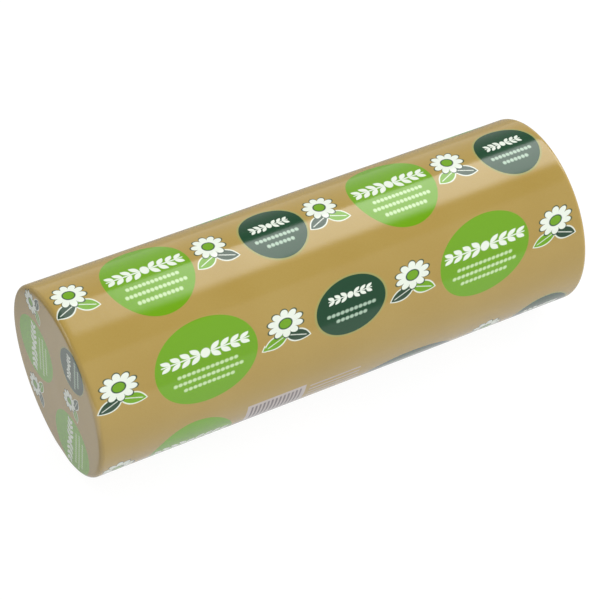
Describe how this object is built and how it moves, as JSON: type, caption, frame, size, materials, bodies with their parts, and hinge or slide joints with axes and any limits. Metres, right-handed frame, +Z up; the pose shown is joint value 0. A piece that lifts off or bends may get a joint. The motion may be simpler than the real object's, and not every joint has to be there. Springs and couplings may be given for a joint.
{
  "type": "butter roll",
  "caption": "Cylindrical roll of butter shut in glossy printed film, lying on its side on a narrow flat.",
  "frame": {"origin": "middle of the narrow flat that the roll rests on, centred along and across the roll", "axes": "+X along the roll, -Y the front, +Z up"},
  "size_m": [0.222, 0.08, 0.0795],
  "materials": {
    "film_wrap": "gloss"
  },
  "bodies": {
    "root": {"butter_roll": "film_wrap"}
  },
  "joints": []
}
